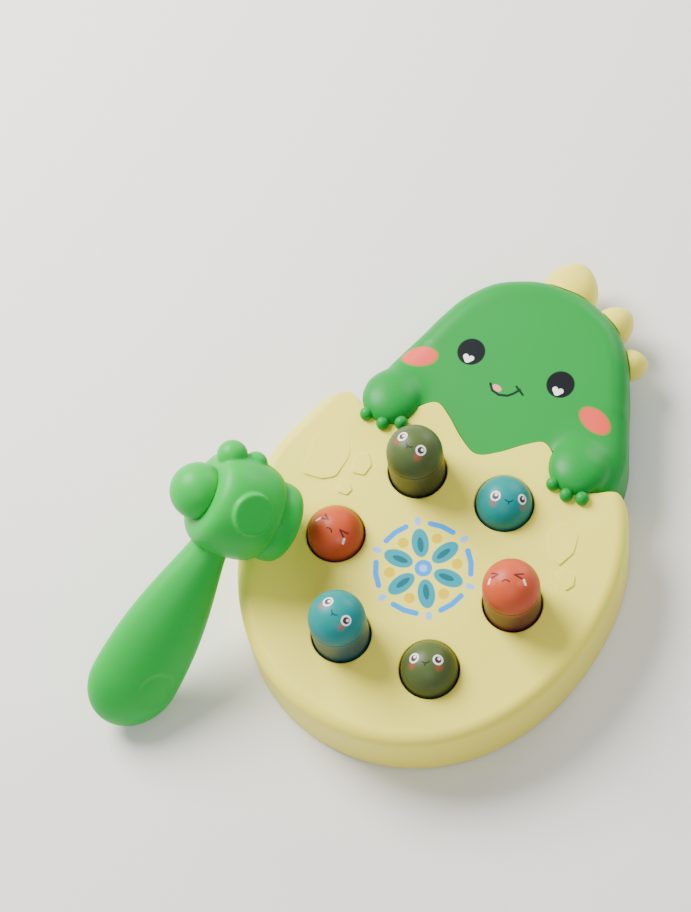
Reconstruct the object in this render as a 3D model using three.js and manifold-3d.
// Mole pounding game: an egg shaped base with a dinosaur looking over its cracked edge,
// six moles that move up and down in three see-saw pairs, and a loose hammer.
// Millimetres, +Z up, the table top is z = 0 and the origin is the middle of the ring of moles.
import * as THREE from 'three';
import { mergeVertices } from 'three/addons/utils/BufferGeometryUtils.js';
import Module from 'manifold-3d';

const wasm = await Module();
wasm.setup();

// Base shells
const baseHeight = 40;
const shellWall = 2.4;
const eggHalfWidth = 95.3;
const eggShiftX = -2.8;
const eggTurn = -1.4;
const eggWidestY = 22;
const eggLowerReach = 114.4;
const eggUpperReach = 98;
const eggFullness = 0.96;
const eggRimRadius = 6.5;
const sideDraft = 1;
const seamGap = 0.3;
const cutOverrun = 5;
const padGap = 0.3;
const footPadHeight = 1.5;
const footPadRecess = 0.6;
const footPadRadius = 7;
const floorThickness = 2.4;
const floorClearance = 0.4;
const floorLipHeight = 4;
const floorLipWall = 1.6;
const footSideX = 63;
const footFrontY = 50;
const footHeadBack = 42;

// Dinosaur head
const headHalfWidth = 71.3;
const headShiftX = 3.5;
const headRootY = 50;
const headTopY = 172.2;
const headRimRadius = 11;
const headStepDown = 0.8;
const headHalfShares = [
  [0.159, 0.993], [0.317, 0.963], [0.491, 0.907], [0.642, 0.805], [0.736, 0.693], [0.811, 0.573],
  [0.883, 0.465], [0.945, 0.365], [0.966, 0.261], [0.925, 0.166], [0.8, 0.066], [0.45, 0.01],
];

// Cracked edge of the egg
const crackValleyY = 66;
const crackPeakRise = 18.5;
const crackHalfShares = [
  [0.108, 0.27], [0.227, 0.76], [0.3135, 1], [0.389, 0.76], [0.465, 0.27], [0.562, 0.03],
  [0.67, 0.135], [0.74, 0.32], [0.795, 0.38], [0.854, 0.19], [0.919, -0.16], [1.08, -1.1],
];
const crackLipDepth = 9;
const neckInset = 5;

// Raised flakes of shell on the egg
const flakeRise = 0.6;
const flakeTilt = 1.6;
const flakeShares = [
  [[-0.86, 0.47], [-0.83, 0.235], [-0.714, 0.245], [-0.65, 0.285], [-0.63, 0.42], [-0.7, 0.56]],
  [[-0.6, 0.43], [-0.58, 0.335], [-0.51, 0.345], [-0.495, 0.41], [-0.54, 0.47]],
  [[-0.61, 0.26], [-0.605, 0.21], [-0.55, 0.212], [-0.535, 0.25], [-0.57, 0.28]],
  [[0.54, 0.44], [0.545, 0.37], [0.62, 0.285], [0.66, 0.27], [0.705, 0.36], [0.69, 0.46], [0.61, 0.5]],
  [[0.665, 0.24], [0.68, 0.2], [0.745, 0.16], [0.775, 0.2], [0.76, 0.25], [0.71, 0.27]],
];

// Paws that hold the cracked edge
const pawX = 51;
const pawShiftX = 0.75;
const pawY = 83.5;
const pawHalfWidth = 15;
const pawHalfLength = 18;
const pawRise = 9;
const toeRadius = 3.9;
const toeLift = 2;
const toeShares = [[-0.6, -0.95], [0.03, -1.09], [0.52, -1.01]];

// Spikes on the back of the head
const spikeHeight = 21;
const spikePegRadius = 4;
const spikePegDepth = 4;
const spikePegGap = 0.4;
const spikeTaper = 1.3;
const spikes = {
  large: { placeShare: 0.006, halfWidth: 15, halfHeight: 13, reach: 20 },
  middle: { placeShare: 0.074, halfWidth: 11.5, halfHeight: 11.5, reach: 15 },
  small: { placeShare: 0.13, halfWidth: 9, halfHeight: 10, reach: 12 },
};

// Mole holes and moles
const moleRowX = 23.5;
const moleRowY = 46.5;
const moleSideX = 47.5;
const moleRadius = 14;
const moleStroke = 23;
const moleHoleGap = 0.8;
const holeChamfer = 0.8;
const collarWall = 1.6;
const collarDepth = 18;
const capWall = 1.8;
const capDomeHeight = 13.5;
const skirtFloorGap = 6.4;
const capCreaseDepth = 0.4;
const capCreaseHeight = 0.8;
const stemFlange = 2.4;
const stemGap = 0.3;
const cheekWall = 2.4;
const cheekTail = 1.8;

// See-saw rockers
const rockerFloorGap = 4.2;
const rockerCeilingGap = 4.4;
const barWidth = 5;
const barHalfHeight = 2;
const barCrankInner = 10;
const barCrankOuter = 26;
const barSideGap = 0.5;
const barPassGap = 1.2;
const bossRadius = 2;
const bossOverhang = 0.6;
const bossSlotGap = 0.5;
const reachTolerance = 0.01;
const hubRadius = 3.2;
const hubHalfLength = 8;
const pinRadius = 1.5;
const pinGap = 0.3;

// Pivot tower
const postDistance = 14;
const postRadius = 2.8;
const postHeadroom = 4;
const postCollarRadius = 3;
const towerPlateRadius = 17;
const towerPlate = 1.6;
const towerEarDistance = 23;
const towerEarWebWidth = 3;
const towerEarHeight = 7;

// Screws and their posts
const screwShankRadius = 1.2;
const screwHeadRadius = 3;
const screwHeadHeight = 2.2;
const screwGap = 0.3;
const screwLength = 12;
const screwSeatZ = 7;
const postWall = 1.4;
const postJointZ = 14;
const bossDepthPastScrew = 2;
const eggScrewShares = [[0.713, 0.26], [-0.713, 0.26], [0.713, -0.28], [-0.713, -0.28], [0, -0.66]];
const headScrewShares = [[0.62, 0.52], [-0.62, 0.52], [0, 0.82]];

// Hammer
const drumRadius = 25.5;
const drumLength = 34;
const drumFrontShare = 0.5;
const strikerRadius = 20;
const strikerLength = 13;
const domeRadius = 14;
const domeStandOff = 2.5;
const hammerGap = 0.3;
const knobRadii = [7.6, 6];
const knobPlaceShares = [-0.35, 0.03];
const knobTurn = 8;
const knobSinkShare = 0.4;
const drumBossPlaceShare = 0.02;
const drumBossTurn = 16;
const drumBossRadius = 10.5;
const drumBossRise = 1.8;
const handleReach = 129.5;
const handleEndLength = 26;
const handleEndHalfWidth = 23;
const handleEndHalfThickness = 13;
const handleNeckHalfWidth = 9.5;
const handleNeckHalfThickness = 9;
const handleSwell = 0.65;
const handleTenonRadius = 7;
const handleTenonDepth = 10;
const handleTenonGap = 0.4;
const neckSeatDepth = 2.5;
const handleDishRadius = 9.5;
const handleDishDepth = 0.7;
const handleDishFromEnd = 22;
const strikerSetback = 7.3;
const hammerY = -15.5;
const hammerYaw = -13.5;
const hammerRoll = 45;
const restGap = 0.35;

// Fineness of round shapes
const roundSides = 20;
const padSides = 16;
const pawSides = 14;
const innerSides = 12;
const smallSides = 8;
const pinSides = 6;
const outlineSteps = 48;
const crackSteps = 38;
const filletSteps = 3;
const domeSteps = 4;

const finish = (color, roughness, metalness = 0) =>
  new THREE.MeshStandardMaterial({ color, roughness, metalness });
const cream = () => finish(0xe0dba0, 0.5);
const leafGreen = () => finish(0x46c264, 0.5);
const moleColors = { olive: 0x5c7a34, teal: 0x36aeb2, orange: 0xdf6a42 };

const object = new THREE.Group();

function place(name, shape, material, parent = object) {
  const mesh = new THREE.Mesh(shape.isBufferGeometry ? shape : geometryOf(shape), material);
  mesh.name = name;
  parent.add(mesh);
  return mesh;
}

// A closed geometry as a solid, with its faces turned outward
function solid(geometry) {
  const bare = geometry.clone();
  bare.deleteAttribute('normal');
  bare.deleteAttribute('uv');
  const merged = mergeVertices(bare);
  const corners = merged.index.array;
  const spots = merged.attributes.position;
  const [a, b, c] = [new THREE.Vector3(), new THREE.Vector3(), new THREE.Vector3()];
  const kept = [];
  let volume = 0;
  for (let i = 0; i < corners.length; i += 3) {
    const [p, q, r] = corners.slice(i, i + 3);
    if (p === q || q === r || r === p) continue;
    kept.push([p, q, r]);
    a.fromBufferAttribute(spots, p);
    b.fromBufferAttribute(spots, q);
    c.fromBufferAttribute(spots, r);
    volume += a.dot(b.cross(c));
  }
  const triVerts = new Uint32Array(kept.flatMap(([p, q, r]) => (volume < 0 ? [p, r, q] : [p, q, r])));
  const vertProperties = new Float32Array(spots.array);
  return new wasm.Manifold(new wasm.Mesh({ numProp: 3, vertProperties, triVerts }));
}

function geometryOf(body) {
  const mesh = body.getMesh();
  const geometry = new THREE.BufferGeometry();
  geometry.setAttribute('position', new THREE.BufferAttribute(mesh.vertProperties, 3));
  geometry.setIndex(new THREE.BufferAttribute(mesh.triVerts, 1));
  geometry.computeVertexNormals();
  return geometry;
}

const join = (first, ...others) => others.reduce((body, other) => body.add(other), first);
const cut = (body, ...tools) => tools.reduce((left, tool) => left.subtract(tool), body);

// Upright cylinder between two heights
function rod(radius, low, high, sides = smallSides, x = 0, y = 0) {
  const shape = new THREE.CylinderGeometry(radius, radius, high - low, sides);
  return solid(shape.rotateX(Math.PI / 2).translate(x, y, (low + high) / 2));
}

// Cylinder along a level direction, from one distance to another
function levelRod(radius, from, to, angle, z, sides = smallSides) {
  const shape = new THREE.CylinderGeometry(radius, radius, to - from, sides);
  shape.rotateZ(-Math.PI / 2).translate((from + to) / 2, 0, z);
  return solid(shape.rotateZ(angle));
}

function block(x0, x1, y0, y1, z0, z1) {
  const shape = new THREE.BoxGeometry(x1 - x0, y1 - y0, z1 - z0);
  return solid(shape.translate((x0 + x1) / 2, (y0 + y1) / 2, (z0 + z1) / 2));
}

function prism(outline, low, high) {
  const settings = { depth: high - low, bevelEnabled: false };
  return solid(new THREE.ExtrudeGeometry(new THREE.Shape(outline), settings).translate(0, 0, low));
}

// Body of revolution about +Z from [radius, height] pairs
function revolve(profile, sides = roundSides) {
  const points = profile.map(([radius, height]) => new THREE.Vector2(radius, height));
  return new THREE.LatheGeometry(points, sides).rotateX(Math.PI / 2);
}

function ellipsoid(x, y, z, halfX, halfY, halfZ, sides = roundSides) {
  const ball = new THREE.SphereGeometry(1, sides, sides / 2).rotateX(Math.PI / 2);
  return solid(ball.scale(halfX, halfY, halfZ).translate(x, y, z));
}

// Quarter of an ellipse as [across, along] pairs, from full width to the tip
function quarterArc(across, along, steps) {
  const points = [];
  for (let i = 0; i <= steps; i += 1) {
    const angle = (i / steps) * (Math.PI / 2);
    points.push([i < steps ? across * Math.cos(angle) : 0, along * Math.sin(angle)]);
  }
  return points;
}

// Moves each point of an outline to its left by a distance, along the mean normal
function shifted(outline, distance, closed) {
  const last = outline.length - 1;
  return outline.map((point, i) => {
    const before = outline[i > 0 ? i - 1 : closed ? last : 0];
    const after = outline[i < last ? i + 1 : closed ? 0 : last];
    const along = after.clone().sub(before).normalize();
    return new THREE.Vector2(point.x - along.y * distance, point.y + along.x * distance);
  });
}

// Stack of inset copies of an outline, closed at both ends
function loft(outline, levels) {
  const count = outline.length;
  const positions = [];
  const faces = [];
  levels.forEach(({ inset, z }) => {
    shifted(outline, inset, true).forEach((p) => positions.push(p.x, p.y, z));
  });
  for (let level = 0; level < levels.length - 1; level += 1) {
    for (let i = 0; i < count; i += 1) {
      const here = level * count + i;
      const next = level * count + ((i + 1) % count);
      faces.push(here, next, next + count, here, next + count, here + count);
    }
  }
  const lid = (level) => THREE.ShapeUtils.triangulateShape(shifted(outline, levels[level].inset, true), []);
  lid(0).forEach(([a, b, c]) => faces.push(a, c, b));
  const top = (levels.length - 1) * count;
  lid(levels.length - 1).forEach(([a, b, c]) => faces.push(top + a, top + b, top + c));
  const geometry = new THREE.BufferGeometry();
  geometry.setAttribute('position', new THREE.Float32BufferAttribute(positions, 3));
  geometry.setIndex(faces);
  return solid(geometry);
}

// Slab with a drafted side and a rounded top edge
function roundedSlab(outline, inset, low, high, radius) {
  const draftAt = (z) => (sideDraft * Math.max(z, 0)) / baseHeight;
  const levels = [{ inset: inset + draftAt(low), z: low }];
  for (let i = 0; i <= filletSteps; i += 1) {
    const angle = (i / filletSteps) * (Math.PI / 2);
    const z = high - radius + radius * Math.sin(angle);
    levels.push({ inset: inset + draftAt(z) + radius - radius * Math.cos(angle), z });
  }
  return loft(outline, levels);
}

const crackHalfWidth = eggHalfWidth + eggShiftX;
const underside = footPadHeight - footPadRecess + padGap;
const floorTop = underside + floorThickness;
const eggCeiling = baseHeight - shellWall;
const headTop = baseHeight - headStepDown;
const headCeiling = headTop - shellWall;
const crackLipZ = eggCeiling - crackLipDepth;
const lowestHubZ = floorTop + hubRadius + rockerFloorGap;
const highestHubZ = eggCeiling - hubRadius - rockerCeilingGap;
const rockerMiddleZ = (lowestHubZ + highestHubZ) / 2;
const rockerStep = (highestHubZ - lowestHubZ) / 2;
const capSkirtLength = baseHeight - floorTop - skirtFloorGap;

function eggOutline() {
  const turn = THREE.MathUtils.degToRad(eggTurn);
  const points = [];
  for (let i = 0; i < outlineSteps; i += 1) {
    const angle = (i / outlineSteps) * Math.PI * 2;
    const reach = Math.sin(angle) < 0 ? eggLowerReach : eggUpperReach;
    const full = (share) => Math.sign(share) * Math.abs(share) ** (angle > Math.PI ? eggFullness : 1);
    const point = new THREE.Vector2(eggHalfWidth * full(Math.cos(angle)), reach * full(Math.sin(angle)));
    points.push(point.rotateAround(new THREE.Vector2(), turn).add(new THREE.Vector2(eggShiftX, eggWidestY)));
  }
  return points;
}

// Closed smooth outline, mirrored about the head's own middle line
function headOutline() {
  const span = headTopY - headRootY;
  const spot = (side, [x, y]) =>
    new THREE.Vector3(headShiftX + side * x * headHalfWidth, headRootY + y * span, 0);
  const right = headHalfShares.map((share) => spot(1, share));
  const left = headHalfShares.map((share) => spot(-1, share)).reverse();
  const apex = new THREE.Vector3(headShiftX, headTopY, 0);
  const curve = new THREE.CatmullRomCurve3([apex, ...left.reverse(), ...right.reverse()], true);
  return curve.getSpacedPoints(outlineSteps).slice(0, -1).map((p) => new THREE.Vector2(p.x, p.y));
}

// Cracked edge from left to right, as an open line
function crackLine() {
  const spot = (side, [x, y]) =>
    new THREE.Vector2(side * x * crackHalfWidth, crackValleyY + y * crackPeakRise);
  const left = crackHalfShares.map((share) => spot(-1, share)).reverse();
  const right = crackHalfShares.map((share) => spot(1, share));
  const curve = new THREE.SplineCurve([...left, new THREE.Vector2(0, crackValleyY), ...right]);
  return curve.getSpacedPoints(crackSteps);
}

const eggEdge = eggOutline();
const headEdge = headOutline();
const crackEdge = crackLine();
const farAway = eggLowerReach + eggUpperReach;

// Everything on the egg's side of the crack, its edge drawn back by an inset
function eggSide(inset, low, high) {
  const edge = shifted(crackEdge, -inset, false);
  const corners = [new THREE.Vector2(farAway, -farAway), new THREE.Vector2(-farAway, -farAway)];
  return prism([...edge, ...corners], low, high);
}

// Everything on the head's side of the crack
function headSide(inset, low, high) {
  const edge = shifted(crackEdge, inset, false);
  const corners = [new THREE.Vector2(farAway, farAway), new THREE.Vector2(-farAway, farAway)];
  return prism([...edge, ...corners], low, high);
}

const eggSlab = (inset, low, high) => roundedSlab(eggEdge, inset, low, high, eggRimRadius - inset);
const headSlab = (inset, low, high) => roundedSlab(headEdge, inset, low, high, headRimRadius - inset);

// The six moles: where they stand, their colour, and whether they are up at rest
const molePlaces = [
  { name: 'olive_back_left', color: 'olive', x: -moleRowX, y: moleRowY, up: true },
  { name: 'teal_back_right', color: 'teal', x: moleRowX, y: moleRowY, up: false },
  { name: 'orange_right', color: 'orange', x: moleSideX, y: 0, up: true },
  { name: 'olive_front_right', color: 'olive', x: moleRowX, y: -moleRowY, up: false },
  { name: 'teal_front_left', color: 'teal', x: -moleRowX, y: -moleRowY, up: true },
  { name: 'orange_left', color: 'orange', x: -moleSideX, y: 0, up: false },
];

// Each rocker joins two opposite moles and has its own pivot height
const rockers = [
  rockerFor('olive', -rockerStep),
  rockerFor('orange', 0),
  rockerFor('teal', rockerStep),
];

// Spread of the distances that a boss passes through while its rocker tips
function bossTravel(reach, rise, tilt) {
  const near = reach * Math.cos(tilt) - Math.abs(rise) * Math.sin(tilt);
  const turnsBack = Math.abs(rise) < reach * Math.tan(tilt);
  const far = turnsBack ? Math.hypot(reach, rise) : reach * Math.cos(tilt) + Math.abs(rise) * Math.sin(tilt);
  return { middle: (near + far) / 2, half: (far - near) / 2 };
}

function rockerFor(color, level) {
  const raised = molePlaces.find((mole) => mole.color === color && mole.up);
  const distance = Math.hypot(raised.x, raised.y);
  const rise = -level;
  let reach = distance;
  let tilt = Math.asin(moleStroke / 2 / reach);
  let travel = bossTravel(reach, rise, tilt);
  while (Math.abs(distance - travel.middle) > reachTolerance) {
    reach += distance - travel.middle;
    tilt = Math.asin(moleStroke / 2 / reach);
    travel = bossTravel(reach, rise, tilt);
  }
  const angle = Math.atan2(raised.y, raised.x);
  return { color, hubZ: rockerMiddleZ + level, rise, reach, tilt, angle, slotHalf: travel.half, distance };
}

const rockerOf = (mole) => rockers.find((rocker) => rocker.color === mole.color);
const barGapHalf = barWidth / 2 + barPassGap;
const eggScrews = eggScrewShares.map(([x, y]) => [x * crackHalfWidth, y * eggLowerReach]);
const headScrews = headScrewShares.map(([x, y]) => [
  headShiftX + x * headHalfWidth, headRootY + y * (headTopY - headRootY),
]);

// Round post under a shell's top that takes a screw from below
function screwBoss(x, y, ceiling) {
  const outer = screwShankRadius + screwGap + postWall;
  return rod(outer, postJointZ, ceiling + shellWall / 2, smallSides, x, y);
}

function screwBore(x, y) {
  const depth = screwSeatZ + screwHeadHeight + screwLength + bossDepthPastScrew;
  return rod(screwShankRadius + screwGap, postJointZ - cutOverrun, depth, smallSides, x, y);
}

// Guide sleeve under a mole hole, slotted towards the middle where the rocker passes
function collar(mole) {
  const bore = moleRadius + moleHoleGap;
  const sleeve = rod(bore + collarWall, baseHeight - collarDepth, eggCeiling + shellWall / 2, innerSides);
  const rocker = rockerOf(mole);
  const barTop = rocker.hubZ + rocker.rise + moleStroke / 2 - bore * Math.tan(rocker.tilt)
    + barHalfHeight / Math.cos(rocker.tilt);
  const slotTop = barTop + barPassGap;
  const slot = block(0, bore + collarWall + cutOverrun, -barGapHalf, barGapHalf, 0, slotTop);
  return cut(sleeve, slot).rotate([0, 0, towardsMiddle(mole)]).translate([mole.x, mole.y, 0]);
}

const towardsMiddle = (mole) => THREE.MathUtils.radToDeg(Math.atan2(-mole.y, -mole.x));

function holeCutter(mole) {
  const bore = moleRadius + moleHoleGap;
  const profile = [
    [0, 0], [bore, 0], [bore, baseHeight - holeChamfer], [bore + holeChamfer, baseHeight],
    [bore + holeChamfer, baseHeight + cutOverrun], [0, baseHeight + cutOverrun],
  ];
  return solid(revolve(profile)).translate([mole.x, mole.y, 0]);
}

// Thin plate that rises towards its lower edge, like a loose flake of eggshell
function flake(shares) {
  const points = shares.map(([x, y]) => new THREE.Vector2(x * crackHalfWidth, y * eggUpperReach));
  const lowY = Math.min(...points.map((p) => p.y));
  const local = points.map((p) => new THREE.Vector2(p.x, p.y - lowY));
  return prism(local, -shellWall / 2, flakeRise).rotate([-flakeTilt, 0, 0]).translate([0, lowY, baseHeight]);
}

function eggShell() {
  const outer = eggSlab(0, underside, baseHeight).intersect(eggSide(0, 0, baseHeight + cutOverrun));
  const cavity = eggSlab(shellWall, underside - cutOverrun, eggCeiling)
    .intersect(eggSide(shellWall, underside - cutOverrun, baseHeight));
  const neck = prism(shifted(headEdge, neckInset, true), underside - cutOverrun, crackLipZ)
    .intersect(headSide(-shellWall - cutOverrun, underside - cutOverrun, baseHeight));
  const shell = join(cut(outer, cavity, neck), ...flakeShares.map(flake));
  const bosses = eggScrews.map(([x, y]) => screwBoss(x, y, eggCeiling));
  const bores = eggScrews.map(([x, y]) => screwBore(x, y));
  return cut(join(shell, ...bosses, ...molePlaces.map(collar)), ...bores, ...molePlaces.map(holeCutter));
}

// Paw with three toes; it lies over the cracked edge
function paw(side) {
  const x = pawShiftX + side * pawX;
  const palm = ellipsoid(x, pawY, headTop, pawHalfWidth, pawHalfLength, pawRise, pawSides);
  const toes = toeShares.map(([across, along]) => {
    const toeX = x - side * across * pawHalfWidth;
    const toeY = pawY + along * pawHalfLength;
    return ellipsoid(toeX, toeY, baseHeight + toeLift, toeRadius, toeRadius, toeRadius, smallSides);
  });
  return join(palm, ...toes);
}

function spikeFrame(spike) {
  const count = headEdge.length;
  const spot = spike.placeShare * count;
  const before = headEdge[(count - Math.floor(spot)) % count];
  const after = headEdge[(count - Math.floor(spot) - 1) % count];
  const at = before.clone().lerp(after, spot - Math.floor(spot));
  const along = before.clone().sub(after).normalize();
  return { x: at.x, y: at.y, angle: Math.atan2(-along.x, along.y) };
}

function spikePeg(spike, radius) {
  const { x, y, angle } = spikeFrame(spike);
  return levelRod(radius, -shellWall - spikePegDepth, shellWall, angle, 0).translate([x, y, spikeHeight]);
}

// Rounded cone whose base is cut to the curve of the head's wall
function backSpike(spike) {
  const { x, y, angle } = spikeFrame(spike);
  const rows = quarterArc(1, 1, domeSteps).map(([across, along]) => [across ** spikeTaper, along]);
  const cone = revolve([[0, -1], [1, -1], ...rows]).rotateY(Math.PI / 2);
  cone.scale(spike.reach, spike.halfWidth, spike.halfHeight);
  const body = solid(cone.rotateZ(angle).translate(x, y, spikeHeight));
  const wallTop = headTop + seamGap;
  const wall = roundedSlab(headEdge, -seamGap, underside - cutOverrun, wallTop, headRimRadius + seamGap);
  return join(cut(body, wall), spikePeg(spike, spikePegRadius));
}

function dinoHead() {
  const slab = headSlab(0, underside, headTop).intersect(headSide(seamGap, 0, baseHeight));
  const roof = headSlab(shellWall, underside - cutOverrun, headCeiling);
  const cavity = roof.intersect(headSide(seamGap + shellWall, underside - cutOverrun, baseHeight));
  const below = roof.intersect(headSide(-cutOverrun, underside - cutOverrun, crackLipZ));
  const eggTop = eggSide(-seamGap, 0, baseHeight + seamGap);
  const body = cut(join(slab, paw(1), paw(-1)), cavity, below, eggTop);
  const bossed = join(body, ...headScrews.map(([x, y]) => screwBoss(x, y, headCeiling)));
  const pegHoles = Object.values(spikes).map((spike) => spikePeg(spike, spikePegRadius + spikePegGap));
  return cut(bossed, ...headScrews.map(([x, y]) => screwBore(x, y)), ...pegHoles);
}

// Area inside both shells, drawn back from their walls
function floorPlan(inset, low, high) {
  const eggPart = prism(shifted(eggEdge, inset, true), low, high).intersect(eggSide(inset, low, high));
  const headPart = prism(shifted(headEdge, inset, true), low, high).intersect(headSide(inset, low, high));
  const neck = prism(shifted(headEdge, neckInset + inset, true), low, high)
    .intersect(headSide(-inset - cutOverrun, low, high));
  return join(eggPart, headPart, neck);
}

// Post in the floor with a deep counterbore for the screw head
function lowerPost([x, y]) {
  const outer = screwHeadRadius + screwGap + postWall;
  return rod(outer, floorTop - floorThickness / 2, postJointZ - screwGap, smallSides, x, y);
}

function lowerPostBore([x, y]) {
  const well = rod(screwHeadRadius + screwGap, 0, screwSeatZ + screwHeadHeight + screwGap, smallSides, x, y);
  return join(well, rod(screwShankRadius + screwGap, 0, postJointZ + cutOverrun, smallSides, x, y));
}

const towerScrews = [[0, towerEarDistance], [0, -towerEarDistance]];
const allScrews = [...eggScrews, ...headScrews, ...towerScrews];
const footPlaces = [
  [0, 0], [footSideX, 0], [-footSideX, 0], [0, -footFrontY], [headShiftX, headTopY - footHeadBack],
];

function lowerShell() {
  const inset = shellWall + sideDraft + floorClearance;
  const plate = floorPlan(inset, underside, floorTop);
  const lip = cut(
    floorPlan(inset, floorTop - floorThickness / 2, floorTop + floorLipHeight),
    floorPlan(inset + floorLipWall, 0, floorTop + floorLipHeight + cutOverrun),
  );
  const recess = footPlaces.map(([x, y]) =>
    rod(footPadRadius + padGap, 0, footPadHeight + padGap, padSides, x, y));
  const posted = join(plate, lip, ...allScrews.map(lowerPost));
  return cut(posted, ...recess, ...allScrews.map(lowerPostBore));
}

const pinAngle = (rocker) => rocker.angle + Math.PI / 2;

// Six posts on a plate carry the three pivot pins at three heights
function pivotTower() {
  const plateBottom = floorTop + padGap;
  const posts = rockers.flatMap((rocker) => [1, -1].map((side) => {
    const x = side * postDistance * Math.cos(pinAngle(rocker));
    const y = side * postDistance * Math.sin(pinAngle(rocker));
    const post = rod(postRadius, plateBottom, rocker.hubZ + postHeadroom, smallSides, x, y);
    const angle = pinAngle(rocker) + (side < 0 ? Math.PI : 0);
    return join(post, levelRod(postCollarRadius, hubHalfLength + pinGap, postDistance, angle, rocker.hubZ));
  }));
  const ears = towerScrews.map(([x, y]) => {
    const [near, far] = y > 0 ? [postDistance, towerEarDistance] : [-towerEarDistance, -postDistance];
    const earTop = postJointZ + towerEarHeight;
    const web = block(-towerEarWebWidth / 2, towerEarWebWidth / 2, near, far, postJointZ, earTop);
    const outer = screwShankRadius + screwGap + postWall;
    return join(web, rod(outer, postJointZ, earTop, smallSides, x, y));
  });
  const boreHalf = postDistance + postRadius * 2;
  const pinBores = rockers.map((rocker) =>
    levelRod(pinRadius + pinGap, -boreHalf, boreHalf, pinAngle(rocker), rocker.hubZ, pinSides));
  const plate = rod(towerPlateRadius, plateBottom, plateBottom + towerPlate, innerSides);
  const earBores = towerScrews.map(([x, y]) => screwBore(x, y));
  return cut(join(plate, ...posts, ...ears), ...pinBores, ...earBores);
}

// Cranked bar with a hub in the middle and a cross boss at each end
function rockerBar(rocker) {
  const { reach, rise } = rocker;
  const upper = [
    [-reach, rise], [-barCrankOuter, rise], [-barCrankInner, 0],
    [barCrankInner, 0], [barCrankOuter, rise], [reach, rise],
  ];
  const outline = [
    ...upper.map(([x, z]) => new THREE.Vector2(x, z + barHalfHeight)).reverse(),
    ...upper.map(([x, z]) => new THREE.Vector2(x, z - barHalfHeight)),
  ];
  const bar = prism(outline, -barWidth / 2, barWidth / 2).rotate([90, 0, 0]);
  const bossHalf = barWidth / 2 + barSideGap + cheekWall + bossOverhang;
  const across = (radius, half, x, z, sides) => {
    const shape = new THREE.CylinderGeometry(radius, radius, half * 2, sides);
    return solid(shape.translate(x, 0, z));
  };
  const bosses = [-reach, reach].map((x) => across(bossRadius, bossHalf, x, rise, pinSides));
  const hub = across(hubRadius, hubHalfLength, 0, 0, smallSides);
  const bore = across(pinRadius + pinGap, hubHalfLength + cutOverrun, 0, 0, pinSides);
  return cut(join(bar, hub, ...bosses), bore);
}

// Hollow thimble with a domed top, a crease below the dome and a notch for the rocker
function moleCap(mole) {
  const rocker = rockerOf(mole);
  const inner = moleRadius - capWall;
  const outerDome = quarterArc(moleRadius, capDomeHeight, domeSteps);
  const innerDome = quarterArc(inner, capDomeHeight - capWall, domeSteps / 2).reverse();
  const profile = [
    [inner, -capSkirtLength], [moleRadius, -capSkirtLength], [moleRadius, -capCreaseHeight],
    [moleRadius - capCreaseDepth, -capCreaseHeight / 2], ...outerDome, ...innerDome,
    [inner, -capSkirtLength],
  ];
  const barTopDown = rocker.hubZ + rocker.rise - moleStroke / 2 + moleRadius * Math.tan(rocker.tilt)
    + barHalfHeight / Math.cos(rocker.tilt) - baseHeight;
  const notchTop = barTopDown + barPassGap / 2;
  const notchLow = -capSkirtLength - cutOverrun;
  const notch = block(0, moleRadius + cutOverrun, -barGapHalf, barGapHalf, notchLow, notchTop);
  return cut(solid(revolve(profile)), notch);
}

// Flange under the dome with two slotted cheeks that ride on the rocker's boss
function moleStem(mole) {
  const rocker = rockerOf(mole);
  const flangeTop = -capCreaseHeight - stemGap;
  const slotZ = rocker.hubZ + (rocker.rise * (1 + Math.cos(rocker.tilt))) / 2 - moleStroke / 2 - baseHeight;
  const slotHalfHeight = bossRadius + bossSlotGap;
  const slotHalfLength = rocker.slotHalf + bossRadius + bossSlotGap;
  const cheekHalf = slotHalfLength + cheekTail;
  const inside = barWidth / 2 + barSideGap;
  const cheekBottom = slotZ - slotHalfHeight - cheekTail;
  const cheek = (side) => {
    const [near, far] = side > 0 ? [inside, inside + cheekWall] : [-inside - cheekWall, -inside];
    return block(-cheekHalf, cheekHalf, near, far, cheekBottom, flangeTop - stemFlange / 2);
  };
  const flange = rod(moleRadius - capWall - stemGap, flangeTop - stemFlange, flangeTop, innerSides);
  const reachAcross = inside + cheekWall + cutOverrun;
  const [slotLow, slotHigh] = [slotZ - slotHalfHeight, slotZ + slotHalfHeight];
  const slot = block(-slotHalfLength, slotHalfLength, -reachAcross, reachAcross, slotLow, slotHigh);
  return cut(join(flange, cheek(1), cheek(-1)), slot);
}

function screw() {
  const headTopZ = screwSeatZ + screwHeadHeight;
  const profile = [
    [0, screwSeatZ], [screwHeadRadius, screwSeatZ], [screwHeadRadius, headTopZ],
    [screwShankRadius, headTopZ], [screwShankRadius, headTopZ + screwLength - screwShankRadius],
    [0, headTopZ + screwLength],
  ];
  return solid(revolve(profile, pinSides));
}

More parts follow.
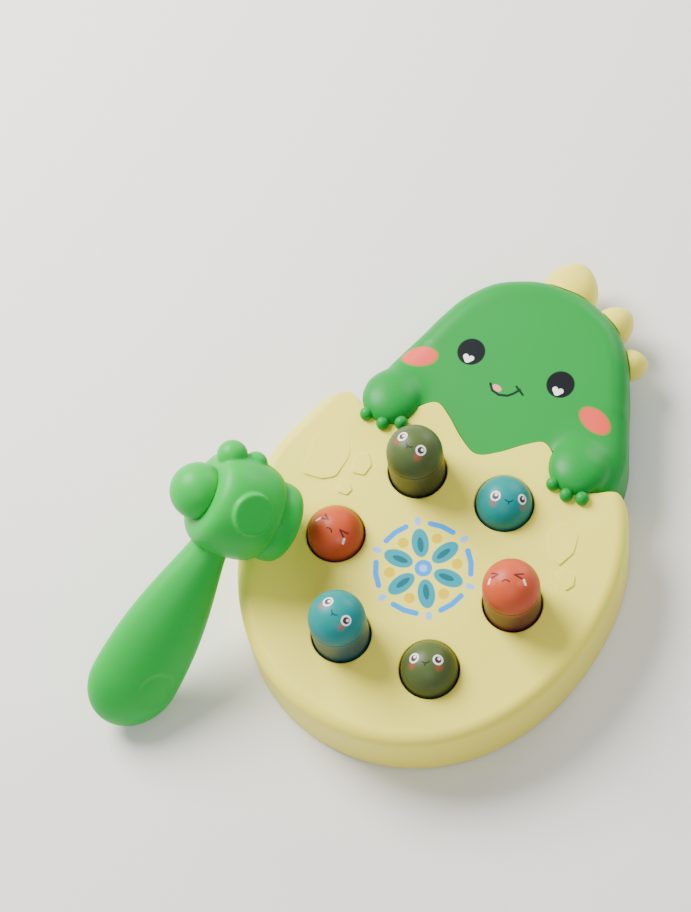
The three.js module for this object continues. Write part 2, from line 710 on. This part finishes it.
// Hammer drum: a barrel along X that faces its striking cap on +X
function hammerDrum() {
  const front = drumLength * drumFrontShare;
  const back = front - drumLength;
  const barrelShares = [
    [0.66, 0], [0.82, 0.05], [0.93, 0.16], [0.99, 0.34], [1, 0.56], [0.97, 0.78], [0.92, 0.92], [0.86, 1],
  ];
  const profile = barrelShares.map(([r, t]) => [r * drumRadius, back + t * drumLength]);
  const barrel = solid(revolve([[0, back], ...profile, [0, front]]).rotateY(Math.PI / 2));
  const knobs = knobRadii.map((radius, i) => {
    const along = knobPlaceShares[i] * drumLength;
    const lift = drumRadius - knobSinkShare * radius;
    return ellipsoid(along, lift, 0, radius, radius, radius, smallSides).rotate([-knobTurn, 0, 0]);
  });
  const bossDisc = revolve([
    [0, 0], [drumBossRadius, 0], [drumBossRadius, drumRadius],
    [drumBossRadius - drumBossRise / 2, drumRadius + drumBossRise], [0, drumRadius + drumBossRise],
  ]).translate(drumBossPlaceShare * drumLength, 0, 0).rotateX(-THREE.MathUtils.degToRad(drumBossTurn));
  const socketBottom = drumRadius - handleTenonDepth - handleTenonGap;
  const socket = handleRod(handleTenonRadius + handleTenonGap, socketBottom, drumRadius + cutOverrun);
  const seat = handleRod(handleNeckHalfWidth * 2, drumRadius - neckSeatDepth, drumRadius + cutOverrun);
  return cut(join(barrel, ...knobs, solid(bossDisc)), socket, seat);
}

// Cylinder along -Y, the handle's direction, between two distances from the drum's middle
function handleRod(radius, from, to) {
  const shape = new THREE.CylinderGeometry(radius, radius, to - from, roundSides);
  return solid(shape.translate(0, -(from + to) / 2, 0));
}

const strikerStart = drumLength * drumFrontShare + hammerGap;
const strikerShares = [[0.95, 0], [1, 0.25], [1, 0.62], [0.93, 0.88], [0.78, 0.97], [0.4, 0.995]];
const strikerProfile = strikerShares.map(([r, t]) => [r * strikerRadius, strikerStart + t * strikerLength]);

function strikingCap() {
  const profile = [[0, strikerStart], ...strikerProfile, [0, strikerStart + strikerLength]];
  return solid(revolve(profile).rotateY(Math.PI / 2));
}

function domeCap() {
  const from = drumLength * (drumFrontShare - 1) - hammerGap;
  const baseRadius = Math.sqrt(domeRadius ** 2 - domeStandOff ** 2);
  const arc = quarterArc(domeRadius, domeRadius, domeSteps).map(([r, t]) => [r, from - domeStandOff - t]);
  return solid(revolve([[0, from], [baseRadius, from], ...arc]).rotateY(Math.PI / 2));
}

// Paddle shaped handle: oval sections that widen to a rounded butt
function hammerHandle() {
  const start = drumRadius - neckSeatDepth + hammerGap;
  const endStart = handleReach - handleEndLength;
  const steps = roundSides / 2;
  const ring = [];
  const levels = [];
  const widening = (share) => (1 - Math.cos(Math.PI * share)) / 2;
  for (let i = 0; i <= steps; i += 1) {
    const along = i / steps;
    const blend = widening(along ** handleSwell);
    levels.push({
      y: start + (endStart - start) * along,
      w: THREE.MathUtils.lerp(handleNeckHalfWidth, handleEndHalfWidth, blend),
      t: THREE.MathUtils.lerp(handleNeckHalfThickness, handleEndHalfThickness, blend),
    });
  }
  const buttSteps = domeSteps + 1;
  for (let i = 1; i < buttSteps; i += 1) {
    const angle = (i / buttSteps) * (Math.PI / 2);
    const shrink = Math.cos(angle);
    const y = endStart + handleEndLength * Math.sin(angle);
    levels.push({ y, w: handleEndHalfWidth * shrink, t: handleEndHalfThickness * shrink });
  }
  for (let i = 0; i < roundSides; i += 1) {
    const angle = (i / roundSides) * Math.PI * 2;
    ring.push([Math.cos(angle), Math.sin(angle)]);
  }
  const body = solid(skin(levels, ring, start, handleReach));
  const tenon = handleRod(handleTenonRadius, drumRadius - handleTenonDepth, drumRadius + hammerGap);
  const dishY = handleDishFromEnd - handleReach;
  const dishFloor = handleEndHalfThickness - handleDishDepth;
  const dish = rod(handleDishRadius, dishFloor, handleEndHalfThickness + cutOverrun, padSides, 0, dishY);
  return cut(join(body, tenon), dish);
}

// Closed skin over oval rings that run along -Y, with a point in the middle of each end
function skin(levels, ring, first, last) {
  const count = ring.length;
  const positions = [0, -first, 0];
  levels.forEach(({ y, w, t }) => ring.forEach(([x, z]) => positions.push(x * w, -y, z * t)));
  positions.push(0, -last, 0);
  const tip = 1 + levels.length * count;
  const faces = [];
  for (let i = 0; i < count; i += 1) {
    const next = (i + 1) % count;
    faces.push(0, 1 + i, 1 + next);
    for (let level = 0; level < levels.length - 1; level += 1) {
      const [a, b] = [1 + level * count + i, 1 + level * count + next];
      faces.push(a, a + count, b + count, a, b + count, b);
    }
    const base = 1 + (levels.length - 1) * count;
    faces.push(base + i, tip, base + next);
  }
  const geometry = new THREE.BufferGeometry();
  geometry.setAttribute('position', new THREE.Float32BufferAttribute(positions, 3));
  geometry.setIndex(faces);
  return geometry;
}

// Leans the hammer so that its striking rim rests on the egg and its butt on the table
function hammerPose() {
  const roll = THREE.MathUtils.degToRad(hammerRoll);
  const dropOf = (slope) => {
    const axisZ = -Math.sin(roll) * Math.cos(slope);
    const level = Math.sqrt(1 - axisZ * axisZ);
    const rimDrop = Math.max(...strikerProfile.map(([r, along]) => r * level - along * axisZ));
    const height = baseHeight + restGap + rimDrop;
    const normalZ = Math.cos(roll) * Math.cos(slope);
    const buttDrop = Math.hypot(
      handleEndHalfWidth * axisZ, handleEndLength * Math.sin(slope), handleEndHalfThickness * normalZ,
    );
    const buttLow = height - (handleReach - handleEndLength) * Math.sin(slope) - buttDrop;
    return { height, buttLow };
  };
  let [low, high] = [0, Math.PI / 2];
  for (let i = 0; i < outlineSteps; i += 1) {
    const middle = (low + high) / 2;
    if (dropOf(middle).buttLow > restGap) low = middle;
    else high = middle;
  }
  const slope = (low + high) / 2;
  const yaw = THREE.MathUtils.degToRad(hammerYaw);
  const turn = new THREE.Euler(slope, roll, yaw, 'ZXY');
  const faceOffset = new THREE.Vector3(strikerStart + strikerLength, 0, 0).applyEuler(turn);
  const faceX = -moleSideX - moleRadius - strikerSetback;
  return { turn, spot: new THREE.Vector3(faceX - faceOffset.x, hammerY, dropOf(slope).height) };
}

place('egg_shell', eggShell(), cream());
place('dino_head', dinoHead(), leafGreen());
place('lower_shell', lowerShell(), finish(0xd8d3a0, 0.55));
Object.entries(spikes).forEach(([size, spike]) => place(`back_spike_${size}`, backSpike(spike), cream()));
place('pivot_tower', pivotTower(), finish(0xe9e6dc, 0.55));

rockers.forEach((rocker) => {
  const tipped = new THREE.Group();
  tipped.position.z = rocker.hubZ;
  tipped.rotation.set(0, -rocker.tilt, rocker.angle, 'ZYX');
  object.add(tipped);
  place(`rocker_${rocker.color}`, rockerBar(rocker), finish(0xe9e6dc, 0.55), tipped);
  const pinHalf = postDistance + postRadius;
  const pin = levelRod(pinRadius, -pinHalf, pinHalf, pinAngle(rocker), rocker.hubZ, pinSides);
  place(`rocker_pin_${rocker.color}`, pin, finish(0xb8babd, 0.3, 1));
});

molePlaces.forEach((mole) => {
  const stand = new THREE.Group();
  stand.position.set(mole.x, mole.y, baseHeight + (mole.up ? moleStroke : 0));
  stand.rotation.z = THREE.MathUtils.degToRad(towardsMiddle(mole));
  object.add(stand);
  place(`mole_cap_${mole.name}`, moleCap(mole), finish(moleColors[mole.color], 0.42), stand);
  place(`mole_stem_${mole.name}`, moleStem(mole), finish(0xe9e6dc, 0.55), stand);
});

const screwName = (i) => {
  if (i < eggScrews.length) return `shell_screw_${i + 1}`;
  const past = i - eggScrews.length;
  return past < headScrews.length ? `head_screw_${past + 1}` : `tower_screw_${past - headScrews.length + 1}`;
};
allScrews.forEach(([x, y], i) => {
  place(screwName(i), screw(), finish(0xb8babd, 0.35, 1)).position.set(x, y, 0);
});
footPlaces.forEach(([x, y], i) => {
  const pad = rod(footPadRadius, 0, footPadHeight, padSides);
  place(`foot_pad_${i + 1}`, pad, finish(0x3a3a3c, 0.9)).position.set(x, y, 0);
});

const hammer = new THREE.Group();
const pose = hammerPose();
hammer.position.copy(pose.spot);
hammer.rotation.copy(pose.turn);
object.add(hammer);
place('hammer_drum', hammerDrum(), leafGreen(), hammer);
place('hammer_striking_cap', strikingCap(), leafGreen(), hammer);
place('hammer_dome_cap', domeCap(), leafGreen(), hammer);
place('hammer_handle', hammerHandle(), leafGreen(), hammer);

export default object;
